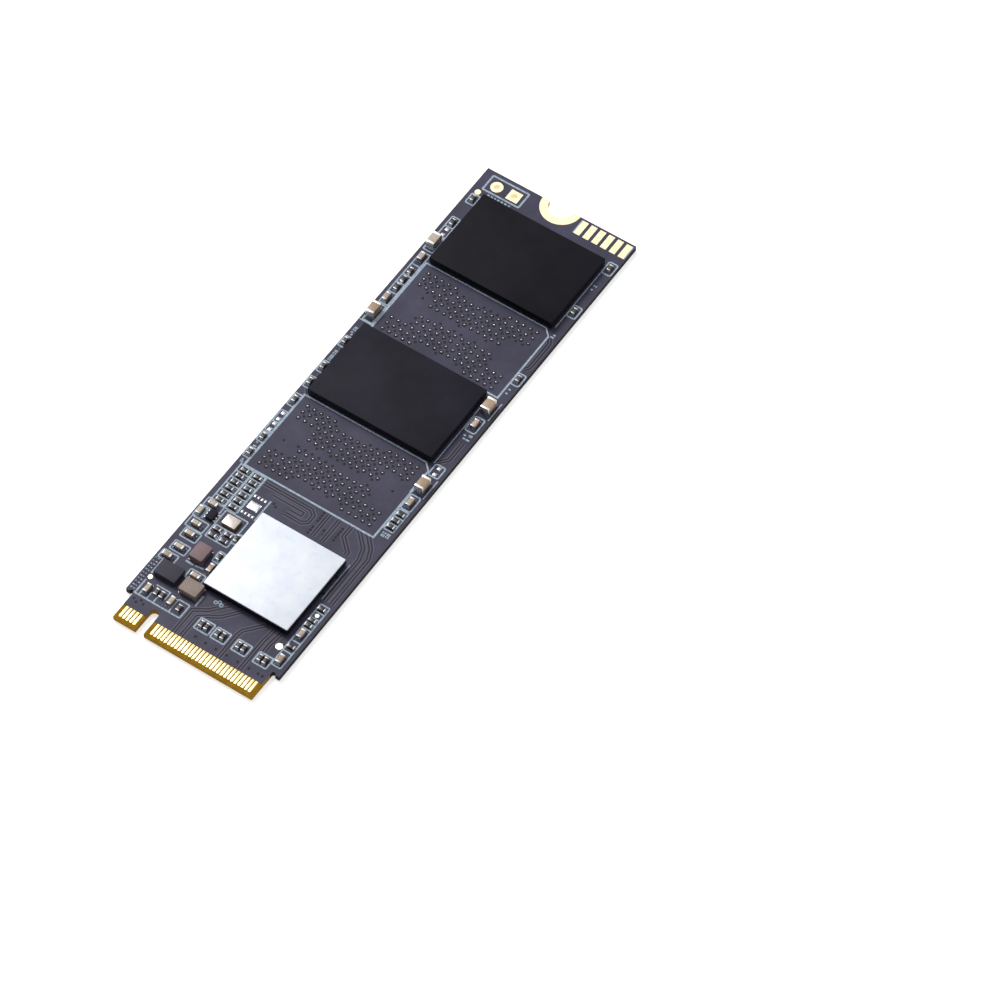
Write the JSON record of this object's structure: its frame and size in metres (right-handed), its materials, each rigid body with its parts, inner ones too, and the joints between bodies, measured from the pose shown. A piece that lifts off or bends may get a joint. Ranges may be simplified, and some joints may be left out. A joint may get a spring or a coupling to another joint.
{
  "type": "solid state drive",
  "caption": "Bare M.2 card drive: keyed edge connector, bright controller package, two memory packages, two unfitted memory sites and a half-round screw notch.",
  "frame": {"origin": "middle of the connector's edge, on the plane of the board's underside", "axes": "+X across the board towards contact 1, +Y from the connector to the screw end, +Z out of the component side"},
  "size_m": [0.022, 0.08, 0.0021],
  "materials": {
    "laminate": "matte, glass-epoxy",
    "copper": "satin",
    "solder_mask": "satin, dark violet-grey",
    "gold": "polished gold plating",
    "solder": "bright tin",
    "mould_compound": "matte black moulding",
    "power_chip_mould": "matte dark grey moulding",
    "package_substrate": "satin",
    "silicon": "polished",
    "heat_spreader": "fine satin, nickel plated",
    "tin_plate": "satin tin",
    "brown_powder_core": "matte brown",
    "grey_powder_core": "matte warm grey",
    "crystal_ceramic": "matte ceramic",
    "crystal_cap": "satin pale gold",
    "quartz": "clear",
    "capacitor_ceramic": "glazed tan ceramic",
    "resistor_glaze": "black glaze"
  },
  "bodies": {
    "root": {"contacts_bottom": "gold", "contacts_top": "gold", "controller_body": "mould_compound", "controller_die": "silicon", "controller_heat_spreader": "heat_spreader", "controller_solder_balls": "solder", "controller_substrate": "package_substrate", "crystal_base": "crystal_ceramic", "crystal_lid": "crystal_cap", "edge_pads_bottom": "gold", "edge_pads_top": "gold", "gold_dots_bottom": "gold", "gold_dots_top": "gold", "ground_plane": "copper", "inductor_1_body": "brown_powder_core", "inductor_1_coil": "copper", "inductor_1_terminals": "tin_plate", "inductor_2_body": "grey_powder_core", "inductor_2_coil": "copper", "inductor_2_terminals": "tin_plate", "jumper_hole_round": "gold", "jumper_hole_square": "gold", "laminate_core": "laminate", "large_capacitor_bodies": "capacitor_ceramic", "large_capacitor_ends": "tin_plate", "memory_1_body": "mould_compound", "memory_1_die_stack": "silicon", "memory_1_solder_balls": "solder", "memory_1_substrate": "package_substrate", "memory_2_body": "mould_compound", "memory_2_die_stack": "silicon", "memory_2_solder_balls": "solder", "memory_2_substrate": "package_substrate", "power_chip_body": "power_chip_mould", "power_chip_pads": "tin_plate", "power_plane": "copper", "prepreg_bottom": "laminate", "prepreg_top": "laminate", "quartz_blank": "quartz", "regulator_body": "mould_compound", "regulator_leads": "tin_plate", "resistor_bodies": "resistor_glaze", "resistor_ends": "tin_plate", "screw_land_bottom": "gold", "screw_land_top": "gold", "small_capacitor_bodies": "capacitor_ceramic", "small_capacitor_ends": "tin_plate", "solder_mask_bottom": "solder_mask", "solder_mask_top": "solder_mask", "spare_chip_pad": "gold", "spare_chip_solder": "solder", "spare_site_1_bumps": "solder", "spare_site_2_bumps": "solder", "tinned_pads_bottom": "solder", "tinned_pads_top": "solder"}
  },
  "joints": []
}
